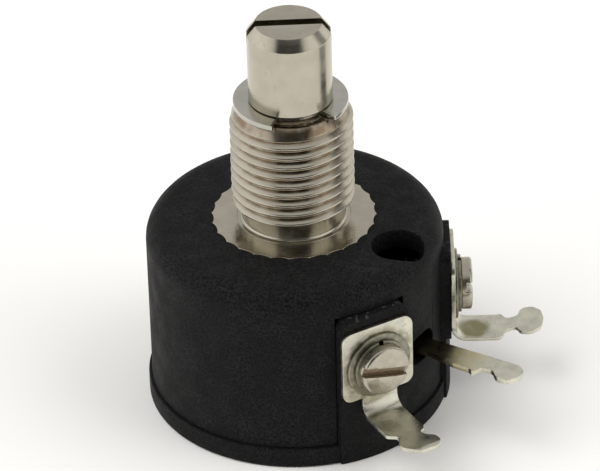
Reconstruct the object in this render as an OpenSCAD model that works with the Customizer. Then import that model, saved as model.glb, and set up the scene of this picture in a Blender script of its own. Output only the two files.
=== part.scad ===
// Rotary potentiometer: single turn, wirewound, with a threaded bushing and screw terminals.
// The shaft stands along +Z, the middle terminal points along +X, and the origin is at the
// centre of the flat underside of the base. All sizes are in millimetres.

/* [Cover] */
// Outside diameter of the moulded cover
cover_d = 21.46; // [21:0.02:26]
// Height of the cover's top face above the underside of the base
cover_top_z = 14.5; // [14.2:0.1:18]
// Thickness of the cover's side wall
cover_wall = 1.1; // [0.9:0.05:1.2]
// Thickness of the cover's top
cover_roof = 1.5; // [1.4:0.05:1.8]
// Radius of the rounded top edge
cover_round = 1.5; // [0.5:0.1:1.5]
// Diameter of the round hole in the top
top_hole_d = 3.8; // [2:0.1:4]
// Distance from the cover's side to the centre of the top hole
top_hole_in = 2.25; // [2.1:0.05:2.5]
// Width of the opening around the middle terminal
strip_window_w = 4.2; // [3:0.1:4.6]
// Height of the opening around the middle terminal
strip_window_h = 2.9; // [2:0.1:3.2]

/* [Base] */
// Height of the base's rim
rim_h = 1.57; // [1.4:0.01:1.8]
// How far the rim stands out past the cover
rim_step = 0.25; // [0.1:0.01:0.3]
// Height of the ribs that centre the cover and the winding
rib_h = 1; // [0.6:0.1:1.4]
// Diameter of the post under the collector ring
post_d = 8.6; // [8:0.1:9]

/* [Terminal blocks] */
// Angle between the middle terminal and each end terminal
terminal_angle = 30; // [30:0.5:34]
// Width of each terminal block
block_w = 5.5; // [5:0.1:5.8]
// Height of the top of each block
block_top_z = 12.35; // [11.9:0.05:12.5]
// Thickness of each block, from its flat pad inwards
block_t = 2.3; // [2.2:0.05:2.4]
// How far the flat pad stands out past the cover's side
pad_proud = 0.47; // [0.3:0.01:0.6]
// Height at which the flat pad begins
pad_z = 5.2; // [4.8:0.1:5.4]
// Radius of the top corners of each block
block_corner = 0.9; // [0.3:0.1:1.2]

/* [End terminals] */
// Side of the square plate under each terminal screw
plate_w = 5.8; // [5.2:0.1:5.8]
// Radius of the plate's corners
plate_corner = 0.9; // [0.4:0.1:1.2]
// Height of the middle of the plate
plate_z = 8.6; // [8.5:0.05:8.7]
// Thickness of the stamped terminals
plate_t = 0.3; // [0.2:0.05:0.4]
// Inside radius of the bend between plate and lug
bend_r = 0.9; // [0.6:0.1:0.9]
// Height of the lug's upper face
lug_top_z = 4.4; // [4.3:0.05:4.5]
// Width of the lug's strap
lug_w = 3.1; // [2.4:0.1:3.2]
// Distance from the pad's face to the end of the strap
lug_strap_l = 3.7; // [3:0.1:4.5]
// Width of the waist behind the lug's head
lug_waist_w = 1.8; // [1.2:0.1:2]
// Diameter of the lug's round head
lug_head_d = 3; // [2.6:0.1:3.2]
// Distance from the pad's face to the tip of the lug
lug_l = 6.75; // [6.5:0.05:8]
// Sideways offset of the lug's head
lug_offset = 0.25; // [0:0.05:0.4]

/* [Terminal screws] */
// Height of the screw's axis
screw_z = 8.25; // [8.2:0.05:8.4]
// Diameter of the screw's thread
screw_d = 2.5; // [2:0.1:2.6]
// Diameter of the screw's head
screw_head_d = 3.8; // [3.6:0.1:4.4]
// Height of the screw's head
screw_head_h = 0.85; // [0.7:0.05:1.2]
// Width of the slot in the head
screw_slot_w = 0.7; // [0.4:0.05:0.8]
// Depth of the slot in the head
screw_slot_h = 0.45; // [0.3:0.05:0.5]
// Outside diameter of the flat washer
flat_washer_d = 5.1; // [4.6:0.1:5.4]
// Thickness of the flat washer
flat_washer_t = 0.22; // [0.15:0.01:0.3]
// Outside diameter of the split lock washer
lock_washer_d = 4.2; // [4:0.1:4.4]
// Thickness of the split lock washer
lock_washer_t = 0.25; // [0.15:0.01:0.3]
// Side of the square nut inside the block
nut_w = 4; // [3.6:0.1:4.2]
// Thickness of the square nut
nut_t = 1.1; // [0.9:0.05:1.2]
// Turn of the first screw's slot
screw_turn_1 = -15; // [-90:5:90]
// Turn of the third screw's slot
screw_turn_3 = -33; // [-90:1:90]

/* [Middle terminal] */
// Height of the strip's lower face
strip_z = 6; // [5.8:0.05:6.2]
// Thickness of the strip
strip_t = 0.45; // [0.3:0.05:0.5]
// Width of the strip
strip_w = 2.1; // [1.8:0.1:2.4]
// How far the tip of the strip stands out past the cover's side
strip_reach = 7.65; // [6:0.05:9]
// Depth of the notch behind the strip's head
strip_notch = 0.55; // [0.3:0.05:0.6]
// Diameter of the strip's round head
strip_head_d = 2.56; // [2.4:0.02:3]

/* [Bushing] */
// Diameter over the thread
thread_d = 8.84; // [8.6:0.02:10.8]
// Pitch of the thread
thread_pitch = 0.79; // [0.5:0.01:1]
// Height of the bushing above the cover's top
bushing_h = 9.5; // [7:0.1:14]
// Height of the plain neck under the thread
neck_h = 1.5; // [1:0.1:2]
// Depth of the neck below the thread's crests
neck_depth = 0.72; // [0.5:0.01:0.72]
// Size of the chamfer at the bushing's mouth
mouth_chamfer = 0.5; // [0.2:0.05:0.6]
// Diameter over the tips of the serrated flange
flange_d = 11.9; // [11.4:0.05:12.2]
// Number of scallops around the flange
flange_teeth = 28; // [20:1:36]
// Depth of each scallop
scallop_depth = 0.16; // [0.05:0.01:0.25]
// How far the flange stands above the cover's top
flange_proud = 0.15; // [0.1:0.01:0.3]
// Thickness of the flange sunk in the cover's top
flange_sunk = 0.9; // [0.6:0.05:1]
// Diameter of the spigot that passes through the cover's top
spigot_d = 9.6; // [9.2:0.1:9.8]
// Height of the staked lip under the cover's top
stake_h = 0.4; // [0.3:0.05:0.5]
// Width of the staked lip
stake_lip = 0.4; // [0.2:0.05:0.5]

/* [Shaft] */
// Diameter of the shaft
shaft_d = 6; // [4.9:0.1:6.3]
// Length of the shaft above the bushing
shaft_out_l = 6.6; // [5:0.1:20]
// Radial size of the chamfer at the shaft's tip
tip_chamfer_r = 0.62; // [0.2:0.02:0.8]
// Height of the chamfer at the shaft's tip
tip_chamfer_h = 0.8; // [0.2:0.05:1]
// Width of the screwdriver slot
slot_w = 0.75; // [0.5:0.05:1.2]
// Depth of the screwdriver slot
slot_h = 1.3; // [0.8:0.1:2]
// Turn of the screwdriver slot at rest
slot_turn = 32; // [0:1:180]
// Running clearance around the shaft, on the radius
running_gap = 0.03; // [0.01:0.01:0.06]
// Depth of the groove for the retaining clip
groove_depth = 0.5; // [0.3:0.05:0.6]
// Outside diameter of the retaining clip
clip_d = 8.2; // [7.8:0.1:8.4]
// Thickness of the retaining clip
clip_t = 0.4; // [0.3:0.05:0.5]
// Opening of the retaining clip, as an angle
clip_gap = 68; // [40:1:100]
// Direction of the middle of the clip's opening at rest
clip_turn = -45; // [-180:1:180]
// Diameter of the spindle below the shaft
spindle_d = 4.4; // [4:0.1:4.4]

/* [Rotor] */
// Diameter of the insulating hub
hub_d = 8.4; // [8:0.1:9]
// Height of the insulating hub
hub_h = 3.3; // [3:0.1:3.4]
// Thickness of the thrust washer
thrust_t = 0.3; // [0.2:0.05:0.4]
// Height of the stop that hangs from the cover's top
stop_h = 2.2; // [1.8:0.1:2.4]
// Full turn of the shaft between its stops
turn_range = 300; // [240:5:300]
// Angle that the fixed stop takes up
stop_angle = 28; // [20:1:30]
// Thickness of the wiper spring
spring_t = 0.3; // [0.2:0.05:0.4]
// Width of the wiper spring's arm
spring_w = 2.4; // [1.6:0.1:2.6]
// Length of the contact brush
brush_l = 0.75; // [0.6:0.05:1]
// Width of the contact brush
brush_w = 1.6; // [1:0.1:2]
// Height of the contact brush
brush_h = 1.5; // [1:0.1:2]

/* [Winding] */
// Thickness of the winding over its former, on the radius
winding_w = 0.9; // [0.8:0.05:1]
// Thickness of the wire's layer
wire_t = 0.15; // [0.1:0.01:0.2]
// Space between the winding's top and the cover's roof
headroom = 2.25; // [2:0.05:2.6]
// Half of the angle left open between the ends of the winding
winding_gap_angle = 27; // [25:0.5:29]
// Angle by which each end of the former shows past the wire
former_show = 3; // [1:0.5:4]

/* [Collector] */
// Outside diameter of the collector ring
ring_d = 8.4; // [8:0.1:8.6]
// Thickness of the collector ring
ring_t = 0.3; // [0.2:0.05:0.4]
// Outside diameter of the hollow rivet's barrel
rivet_d = 3.1; // [2.8:0.1:3.4]
// Wall of the hollow rivet
rivet_wall = 0.35; // [0.2:0.05:0.4]
// Width of the hollow rivet's rolled flanges
rivet_lip = 0.7; // [0.5:0.05:0.8]
// Depth of the recess for the rivet under the base
rivet_recess = 0.5; // [0.4:0.05:0.6]
// Thickness of the hollow rivet's rolled flanges
rivet_flange_t = 0.2; // [0.15:0.05:0.3]

/* [Hidden] */
$fn = 64;

// Small overlap that lets a cut pass through a face
cut = 1;
// Clearance between parts that are put together by hand
fit_gap = 0.05;
// Clearance between a screw and the hole it passes through
screw_gap = 0.02;

// Levels, from the underside up
roof_z = cover_top_z - cover_roof;
bushing_top_z = cover_top_z + bushing_h;
bushing_foot_z = roof_z - stake_h;
shaft_top_z = bushing_top_z + shaft_out_l;
clip_z = bushing_top_z + fit_gap;
groove_top_z = clip_z + clip_t + fit_gap;
thrust_z = bushing_foot_z - fit_gap - thrust_t;
hub_top_z = thrust_z - fit_gap;
hub_z = hub_top_z - hub_h;
spring_z = hub_z - spring_t;
ring_z = strip_z + strip_t;
ring_top_z = ring_z + ring_t;
winding_top_z = roof_z - headroom;
notch_top_z = block_top_z + fit_gap * 2;
strip_window_z = strip_z + strip_t + 0.35;

// Radii, from the outside in
cover_r = cover_d / 2;
cover_in_r = cover_r - cover_wall;
rim_r = cover_r + rim_step;
pad_x = cover_r + pad_proud;
block_low_r = pad_x - 0.06;
block_in_x = pad_x - block_t;
top_hole_r = cover_r - top_hole_in;
winding_r = block_in_x - fit_gap;
winding_in_r = winding_r - winding_w;
former_r = winding_r - wire_t;
former_in_r = winding_in_r + wire_t;
brush_r = winding_in_r - fit_gap;
brush_in_r = brush_r - brush_l;
shaft_r = shaft_d / 2;
bore_r = shaft_r + running_gap;
groove_r = shaft_r - groove_depth;
spindle_r = spindle_d / 2;
hub_r = hub_d / 2;
stop_r = winding_in_r - 0.7;
stop_in_r = spigot_d / 2 + stake_lip + 0.1;

// The plate and screw of an end terminal, seen along its own +X
plate_x = pad_x + plate_t;
flat_washer_x = plate_x + flat_washer_t;
lock_washer_x = flat_washer_x + lock_washer_t;
lug_bottom_z = lug_top_z - plate_t;
bend_x = plate_x + bend_r;
bend_z = lug_top_z + bend_r;

// Angle that the rotor's own stop takes up
rotor_stop_angle = 360 - turn_range - stop_angle - 1;

// Points of an arc about a centre, from one angle to another
function arc(cx, cy, r, a0, a1, n = 6) =
    [for (i = [0 : n]) [cx + r * cos(a0 + (a1 - a0) * i / n), cy + r * sin(a0 + (a1 - a0) * i / n)]];

// Outline of a rectangle with round corners, about its own middle
module round_rect(w, h, r) {
    polygon(concat(
        arc(w / 2 - r, h / 2 - r, r, 0, 90),
        arc(r - w / 2, h / 2 - r, r, 90, 180),
        arc(r - w / 2, r - h / 2, r, 180, 270),
        arc(w / 2 - r, r - h / 2, r, 270, 360)));
}

// Stands an outline drawn across and up on a plane that faces +X, and thickens it outwards
module facing_x(x, t) {
    translate([x, 0, 0]) rotate([90, 0, 90]) linear_extrude(height = t) children();
}

// Round bar along +X at the screw's height
module bar_x(x, l, d) {
    translate([x, 0, screw_z]) rotate([0, 90, 0]) cylinder(d = d, h = l);
}

// Ring about Z between two radii
module ring(r_in, r_out, z, h) {
    translate([0, 0, z]) difference() {
        cylinder(r = r_out, h = h);
        translate([0, 0, -cut]) cylinder(r = r_in, h = h + 2 * cut);
    }
}

// Part of a ring about Z, centred on +X
module ring_sector(r_in, r_out, z, h, angle) {
    translate([0, 0, z]) rotate([0, 0, -angle / 2]) rotate_extrude(angle = angle)
        translate([r_in, 0]) square([r_out - r_in, h]);
}

// Slab around an end terminal, from one distance to another
module slab_x(x0, x1, w, z0, z1) {
    translate([x0, -w / 2, z0]) cube([x1 - x0, w, z1 - z0]);
}

module cover() {
    color([0.12, 0.12, 0.125]) difference() {
        union() {
            difference() {
                rotate_extrude() polygon(concat(
                    [[0, rim_h], [cover_r, rim_h]],
                    arc(cover_r - cover_round, cover_top_z - cover_round, cover_round, 0, 90, 8),
                    [[0, cover_top_z]]));
                translate([0, 0, rim_h - cut]) cylinder(r = cover_in_r, h = roof_z - rim_h + cut);
            }
            rotate([0, 0, -90])
                ring_sector(stop_in_r, stop_r, roof_z - stop_h, stop_h + cut / 2, stop_angle);
        }
        translate([0, 0, roof_z - cut]) cylinder(d = spigot_d, h = cover_roof + 2 * cut);
        translate([0, 0, cover_top_z - flange_sunk]) cylinder(r = flange_d / 2 + 0.02, h = cut * 2);
        translate([top_hole_r, 0, roof_z - cut]) cylinder(d = top_hole_d, h = cover_roof + 2 * cut);
        facing_x(cover_in_r - cut, cover_wall + 2 * cut) translate([0, strip_window_z])
            round_rect(strip_window_w, strip_window_h, strip_window_h * 0.4);
        for (a = [-terminal_angle, terminal_angle]) rotate([0, 0, a])
            slab_x(block_in_x - fit_gap, pad_x + cut, block_w + 2 * fit_gap, rim_h - cut, notch_top_z);
    }
}

// Solid of one terminal block: a flat pad above, and a round face below it
module block() {
    intersection() {
        facing_x(block_in_x, block_t) difference() {
            translate([-block_w / 2, 0]) square([block_w, block_top_z]);
            for (side = [-1, 1]) translate([side * block_w / 2, block_top_z]) difference() {
                square(block_corner * 2, center = true);
                translate([-side * block_corner, -block_corner]) circle(r = block_corner);
            }
        }
        union() {
            cylinder(r = block_low_r, h = pad_z);
            translate([0, 0, pad_z]) cylinder(r = pad_x * 1.2, h = block_top_z);
        }
    }
}

module base() {
    color([0.11, 0.11, 0.115]) difference() {
        union() {
            cylinder(r = rim_r, h = rim_h);
            ring(winding_r + fit_gap, cover_in_r - fit_gap, rim_h - cut / 2, rib_h + cut / 2);
            ring(winding_in_r - fit_gap - 0.6, winding_in_r - fit_gap, rim_h - cut / 2, rib_h + cut / 2);
            cylinder(d = post_d, h = strip_z);
            for (a = [-terminal_angle, terminal_angle]) rotate([0, 0, a]) block();
        }
        translate([0, 0, -cut]) cylinder(r = rivet_d / 2 + screw_gap, h = strip_z + 2 * cut);
        translate([0, 0, -cut]) cylinder(r = rivet_d / 2 + rivet_lip + fit_gap, h = cut + rivet_recess);
        for (a = [-terminal_angle, terminal_angle]) rotate([0, 0, a]) {
            bar_x(block_in_x - cut, block_t + 2 * cut, screw_d + 2 * screw_gap);
            slab_x(block_in_x - cut, block_in_x + nut_t + fit_gap, nut_w + 2 * fit_gap,
                screw_z - nut_w / 2 - fit_gap, screw_z + nut_w / 2 + fit_gap);
        }
    }
}

module threaded_bushing() {
    crest_r = thread_d / 2;
    thread_depth = 0.6 * thread_pitch;
    neck_r = crest_r - neck_depth;
    flange_top_z = cover_top_z + flange_proud;
    flange_z = cover_top_z - flange_sunk;
    neck_top_z = flange_top_z + neck_h;
    tip_r = flange_d / 2;
    // Radius of each scallop, from its depth and the distance between tips
    half_pitch = tip_r * sin(180 / flange_teeth);
    scallop_r = (half_pitch * half_pitch + scallop_depth * scallop_depth) / (2 * scallop_depth);
    color([0.74, 0.72, 0.68]) difference() {
        rotate_extrude() polygon([
            [bore_r, bushing_foot_z],
            [spigot_d / 2 + stake_lip, bushing_foot_z],
            [spigot_d / 2 + stake_lip, roof_z - screw_gap],
            [spigot_d / 2 - screw_gap, roof_z - screw_gap],
            [spigot_d / 2 - screw_gap, flange_z],
            [tip_r, flange_z],
            [tip_r, flange_top_z],
            [neck_r, flange_top_z],
            [neck_r, neck_top_z],
            [crest_r, neck_top_z + thread_depth],
            [crest_r, bushing_top_z - mouth_chamfer - thread_depth],
            [crest_r - thread_depth, bushing_top_z - mouth_chamfer],
            [crest_r - thread_depth - mouth_chamfer, bushing_top_z],
            [bore_r, bushing_top_z]]);
        for (i = [0 : flange_teeth - 1]) rotate([0, 0, i * 360 / flange_teeth])
            translate([tip_r * cos(180 / flange_teeth) + scallop_r - scallop_depth, 0, flange_z - cut])
                cylinder(r = scallop_r, h = flange_sunk + flange_proud + 2 * cut);
    }
}

module winding_former() {
    a = winding_gap_angle - former_show;
    color([0.55, 0.35, 0.18]) rotate([0, 0, a]) rotate_extrude(angle = 360 - 2 * a)
        translate([former_in_r, rim_h + wire_t])
            square([former_r - former_in_r, winding_top_z - rim_h - 2 * wire_t]);
}

module resistance_winding() {
    h = winding_top_z - rim_h;
    color([0.62, 0.5, 0.36]) rotate([0, 0, winding_gap_angle])
        rotate_extrude(angle = 360 - 2 * winding_gap_angle) difference() {
            translate([winding_in_r, rim_h]) square([winding_w, h]);
            translate([former_in_r, rim_h + wire_t]) square([former_r - former_in_r, h - 2 * wire_t]);
        }
}

module middle_terminal() {
    tip_x = cover_r + strip_reach;
    head_r = strip_head_d / 2;
    head_x = tip_x - head_r;
    notch_x = head_x - 1.3;
    color([0.76, 0.74, 0.68]) translate([0, 0, strip_z]) difference() {
        union() {
            cylinder(d = ring_d, h = strip_t);
            translate([0, -strip_w / 2, 0]) cube([head_x, strip_w, strip_t]);
            translate([head_x, strip_w / 2 - head_r, 0]) cylinder(r = head_r, h = strip_t);
        }
        translate([0, 0, -cut]) cylinder(r = rivet_d / 2 + screw_gap, h = strip_t + 2 * cut);
        translate([notch_x, -strip_w / 2, -cut]) cylinder(r = strip_notch, h = strip_t + 2 * cut);
    }
}

module collector_ring() {
    color([0.8, 0.66, 0.36]) ring(rivet_d / 2 + screw_gap, ring_d / 2, ring_z, ring_t);
}

module collector_rivet() {
    r = rivet_d / 2;
    color([0.78, 0.62, 0.34]) rotate_extrude() polygon([
        [r - rivet_wall, rivet_recess - rivet_flange_t],
        [r + rivet_lip, rivet_recess - rivet_flange_t],
        [r + rivet_lip, rivet_recess],
        [r, rivet_recess],
        [r, ring_top_z],
        [r + rivet_lip, ring_top_z],
        [r + rivet_lip, ring_top_z + rivet_flange_t],
        [r - rivet_wall, ring_top_z + rivet_flange_t]]);
}

// One end terminal, stamped from a single strip: square plate, bend, strap, waist and head
module end_terminal() {
    head_r = lug_head_d / 2;
    head_x = pad_x + lug_l - head_r;
    strap_x = pad_x + lug_strap_l;
    waist_x = strap_x + (lug_w - lug_waist_w) / 2;
    color([0.76, 0.74, 0.68]) difference() {
        union() {
            facing_x(pad_x, plate_t) translate([0, plate_z]) round_rect(plate_w, plate_w, plate_corner);
            translate([0, lug_w / 2, 0]) rotate([90, 0, 0]) linear_extrude(height = lug_w) polygon(concat(
                arc(bend_x, bend_z, bend_r + plate_t, 180, 270),
                [[bend_x + 0.2, lug_bottom_z], [bend_x + 0.2, lug_top_z]],
                arc(bend_x, bend_z, bend_r, 270, 180),
                [[plate_x, bend_z + 1], [pad_x, bend_z + 1]]));
            translate([0, 0, lug_bottom_z]) linear_extrude(height = plate_t) {
                polygon([
                    [bend_x, -lug_w / 2],
                    [strap_x, -lug_w / 2],
                    [waist_x, lug_offset - lug_waist_w / 2],
                    [head_x, lug_offset - lug_waist_w / 2],
                    [head_x, lug_offset + lug_waist_w / 2],
                    [waist_x, lug_offset + lug_waist_w / 2],
                    [strap_x, lug_w / 2],
                    [bend_x, lug_w / 2]]);
                translate([head_x, lug_offset]) circle(r = head_r);
            }
        }
        bar_x(pad_x - cut, plate_t + 2 * cut, screw_d + 2 * screw_gap);
    }
}

module flat_washer() {
    color([0.72, 0.71, 0.68]) difference() {
        bar_x(plate_x, flat_washer_t, flat_washer_d);
        bar_x(plate_x - cut, flat_washer_t + 2 * cut, screw_d + 2 * screw_gap);
    }
}

module lock_washer() {
    split_w = 0.4;
    color([0.66, 0.65, 0.62]) difference() {
        bar_x(flat_washer_x, lock_washer_t, lock_washer_d);
        bar_x(flat_washer_x - cut, lock_washer_t + 2 * cut, screw_d + 2 * screw_gap);
        translate([flat_washer_x - cut, -split_w / 2, screw_z])
            cube([lock_washer_t + 2 * cut, split_w, lock_washer_d]);
    }
}

// One terminal screw, with its slot turned about the screw's axis
module terminal_screw(turn) {
    head_x = lock_washer_x + screw_head_h;
    color([0.78, 0.77, 0.74]) difference() {
        union() {
            bar_x(block_in_x, lock_washer_x - block_in_x + cut / 4, screw_d);
            bar_x(lock_washer_x, screw_head_h, screw_head_d);
        }
        translate([head_x, 0, screw_z]) rotate([turn, 0, 0])
            cube([screw_slot_h * 2, screw_head_d + cut, screw_slot_w], center = true);
    }
}

module square_nut() {
    color([0.75, 0.68, 0.45]) difference() {
        slab_x(block_in_x, block_in_x + nut_t, nut_w, screw_z - nut_w / 2, screw_z + nut_w / 2);
        bar_x(block_in_x - cut, nut_t + 2 * cut, screw_d + 2 * screw_gap);
    }
}

module shaft() {
    stake_z = spring_z - 0.4;
    color([0.78, 0.75, 0.7]) difference() {
        rotate_extrude() polygon([
            [0, stake_z],
            [spindle_r + 0.45, stake_z],
            [spindle_r + 0.45, spring_z],
            [spindle_r, spring_z],
            [spindle_r, hub_top_z],
            [shaft_r, hub_top_z],
            [shaft_r, bushing_top_z],
            [groove_r, bushing_top_z],
            [groove_r, groove_top_z],
            [shaft_r, groove_top_z],
            [shaft_r, shaft_top_z - tip_chamfer_h],
            [shaft_r - tip_chamfer_r, shaft_top_z],
            [0, shaft_top_z]]);
        rotate([0, 0, slot_turn]) translate([0, 0, shaft_top_z])
            cube([shaft_d + cut, slot_w, 2 * slot_h], center = true);
    }
}

module retaining_clip() {
    color([0.8, 0.78, 0.74]) rotate([0, 0, clip_turn + 180])
        ring_sector(groove_r + screw_gap, clip_d / 2, clip_z, clip_t, 360 - clip_gap);
}

module thrust_washer() {
    color([0.85, 0.82, 0.74]) ring(shaft_r + fit_gap, hub_r, thrust_z, thrust_t);
}

// Insulating hub on the spindle, with the stop that meets the one under the cover's top
module rotor_hub() {
    lug_h = stop_h - (roof_z - hub_top_z);
    color([0.5, 0.3, 0.16]) difference() {
        union() {
            translate([0, 0, hub_z]) cylinder(r = hub_r, h = hub_h);
            rotate([0, 0, 90]) ring_sector(hub_r - 0.5, stop_r, hub_top_z - lug_h, lug_h, rotor_stop_angle);
        }
        translate([0, 0, hub_z - cut]) cylinder(r = spindle_r + screw_gap, h = hub_h + 2 * cut);
    }
}

// Wiper spring: a washer, an arm out to the brush, and a finger down to the collector ring
module wiper_spring() {
    finger_w = 1.6;
    finger_x = ring_d / 2 - 0.8;
    finger_z = ring_top_z + fit_gap;
    color([0.82, 0.68, 0.4]) union() {
        difference() {
            union() {
                translate([0, 0, spring_z]) cylinder(r = hub_r - 0.3, h = spring_t);
                translate([-brush_in_r, -spring_w / 2, spring_z]) cube([brush_in_r, spring_w, spring_t]);
            }
            translate([0, 0, spring_z - cut]) cylinder(r = spindle_r + screw_gap, h = 2 * cut);
        }
        translate([0, finger_w / 2, 0]) rotate([90, 0, 0]) linear_extrude(height = finger_w) polygon([
            [finger_x - 0.6, spring_z + spring_t],
            [finger_x - 0.6, spring_z],
            [finger_x - 0.35, finger_z],
            [finger_x + 0.3, finger_z],
            [finger_x + 0.3, finger_z + spring_t],
            [finger_x - 0.1, finger_z + spring_t],
            [finger_x - 0.1, spring_z + spring_t]]);
    }
}

module contact_brush() {
    color([0.22, 0.2, 0.2]) intersection() {
        translate([-brush_r, -brush_w / 2, spring_z + spring_t / 2 - brush_h / 2])
            cube([brush_l, brush_w, brush_h]);
        cylinder(r = brush_r, h = roof_z);
    }
}

cover();
base();
threaded_bushing();
winding_former();
resistance_winding();
middle_terminal();
collector_ring();
collector_rivet();
rotate([0, 0, -terminal_angle]) end_terminal();  // end_terminal_1
rotate([0, 0, -terminal_angle]) flat_washer();  // flat_washer_1
rotate([0, 0, -terminal_angle]) lock_washer();  // lock_washer_1
rotate([0, 0, -terminal_angle]) terminal_screw(screw_turn_1);  // terminal_screw_1
rotate([0, 0, -terminal_angle]) square_nut();  // square_nut_1
rotate([0, 0, terminal_angle]) end_terminal();  // end_terminal_3
rotate([0, 0, terminal_angle]) flat_washer();  // flat_washer_3
rotate([0, 0, terminal_angle]) lock_washer();  // lock_washer_3
rotate([0, 0, terminal_angle]) terminal_screw(screw_turn_3);  // terminal_screw_3
rotate([0, 0, terminal_angle]) square_nut();  // square_nut_3
shaft();
retaining_clip();
thrust_washer();
rotor_hub();
wiper_spring();
contact_brush();
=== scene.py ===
"""Looks of a wirewound rotary potentiometer, built around its packed construction model."""

import math

import bmesh
import bpy
from bpy.props import FloatProperty, FloatVectorProperty, IntProperty, PointerProperty
from mathutils import Euler, Matrix, Vector


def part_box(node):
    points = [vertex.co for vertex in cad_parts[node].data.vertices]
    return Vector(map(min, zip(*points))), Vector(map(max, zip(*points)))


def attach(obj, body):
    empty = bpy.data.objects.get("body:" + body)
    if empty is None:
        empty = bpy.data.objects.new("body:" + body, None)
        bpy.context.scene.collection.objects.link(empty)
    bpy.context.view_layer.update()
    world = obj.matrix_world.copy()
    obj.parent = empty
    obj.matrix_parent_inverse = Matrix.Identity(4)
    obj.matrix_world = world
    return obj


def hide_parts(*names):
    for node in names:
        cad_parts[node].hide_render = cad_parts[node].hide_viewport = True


bl_info = {
    "name": "Rotary Potentiometer",
    "version": (1, 0, 0),
    "blender": (4, 5, 0),
    "location": "3D View > Sidebar > Potentiometer",
    "description": "Models a screw-terminal potentiometer and its finishes around a packed frame",
    "category": "Object",
}

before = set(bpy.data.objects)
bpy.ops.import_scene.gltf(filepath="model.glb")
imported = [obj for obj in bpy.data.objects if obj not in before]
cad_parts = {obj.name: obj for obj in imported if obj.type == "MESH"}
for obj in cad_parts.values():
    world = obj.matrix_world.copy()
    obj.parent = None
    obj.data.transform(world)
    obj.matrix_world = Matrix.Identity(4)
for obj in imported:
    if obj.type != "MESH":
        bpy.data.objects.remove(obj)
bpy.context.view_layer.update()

MM = 0.001
UP = Vector((0, 0, 1))
FULL_TURN = 2 * math.pi
# Distance under which two points are one
WELD = 2e-7
# How far a cutting tool runs past what it cuts
OVER = 1 * MM
# Clearance of a hole round what goes through it
FIT = 0.02 * MM
# Radius of the hair-thin core on which a solid bar is turned
CORE = 0.02 * MM
# Least angle between faces that makes an edge of a stamping sharp
SHEARED = math.radians(60)

# Levels and radii of the construction model
COVER_LOW, COVER_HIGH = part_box("cover")
BASE_LOW, BASE_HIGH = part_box("base")
BUSHING_LOW, BUSHING_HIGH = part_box("threaded_bushing")
SHAFT_LOW, SHAFT_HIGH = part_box("shaft")
CLIP_LOW, CLIP_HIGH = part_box("retaining_clip")
STRIP_LOW, STRIP_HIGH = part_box("middle_terminal")
LUG_LOW, LUG_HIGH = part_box("end_terminal_1")
WINDING_LOW, WINDING_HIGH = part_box("resistance_winding")
RING_LOW, RING_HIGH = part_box("collector_ring")
RIVET_LOW, RIVET_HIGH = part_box("collector_rivet")
COVER_R = -COVER_LOW.x
RIM_R = -BASE_LOW.x
RIM_Z = COVER_LOW.z
TOP_Z = COVER_HIGH.z
SHAFT_R = -SHAFT_LOW.x

# The rivet's hole through post, strip and ring, and the depth of its recess
RIVET_HOLE_R = 1.57 * MM
RECESS_H = 0.5 * MM

# Directions of the end terminals round the shaft
TERMINALS = {"1": math.radians(-30), "3": math.radians(30)}


def mm(*values):
    """Millimetres as metres."""
    return [value * MM for value in values]


def length(name, value, description, low=0.0):
    """A size in metres, given here in millimetres."""
    return FloatProperty(name=name, default=value * MM, min=low * MM, description=description,
                         subtype="DISTANCE", unit="LENGTH", precision=5)


def turn(name, degrees, description):
    return FloatProperty(name=name, default=math.radians(degrees), description=description,
                         subtype="ANGLE", unit="ROTATION")


def tint(name, value, description):
    return FloatVectorProperty(name=name, default=value, size=3, min=0, max=1,
                               description=description, subtype="COLOR")


class BodySizes(bpy.types.PropertyGroup):
    """Sizes of the moulded cover and base."""

    wall: length("Wall", 1.1, "Thickness of the cover's side wall")
    roof: length("Roof", 1.5, "Thickness of the cover's top")
    edge_round: length("Edge radius", 1.5, "Radius of the cover's rounded top edge")
    edge_soft: length("Soft edge", 0.055, "Radius left on every other moulded edge")
    hole_d: length("Top hole", 3.8, "Diameter of the hole in the cover's top")
    hole_in: length("Top hole inset", 2.25, "Distance from the cover's side to the hole's centre")
    window_w: length("Window width", 3.2, "Width of the opening round the middle terminal")
    window_h: length("Window height", 2.3, "Height of the opening round the middle terminal")
    window_drop: length("Window drop", 0.4, "How far the window reaches under the strip")
    window_shift: length("Window shift", -0.6, "Sideways offset of the window", low=-5)
    block_w: length("Block width", 5.5, "Width of each terminal block")
    block_t: length("Block depth", 2.3, "Depth of each terminal block")
    block_corner: length("Block corner", 0.9, "Radius of the top corners of a block")
    pad_proud: length("Pad proud", 0.47, "How far a pad stands out past the cover's side")
    pad_z: length("Pad height", 5.2, "Height at which the flat pad begins")
    low_relief: length("Lower relief", 0.06, "How far the round lower face lies behind the pad")
    notch_gap: length("Notch gap", 0.035, "Gap between a block and its notch in the cover")
    post_d: length("Post", 8.6, "Diameter of the post under the collector ring")


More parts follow.
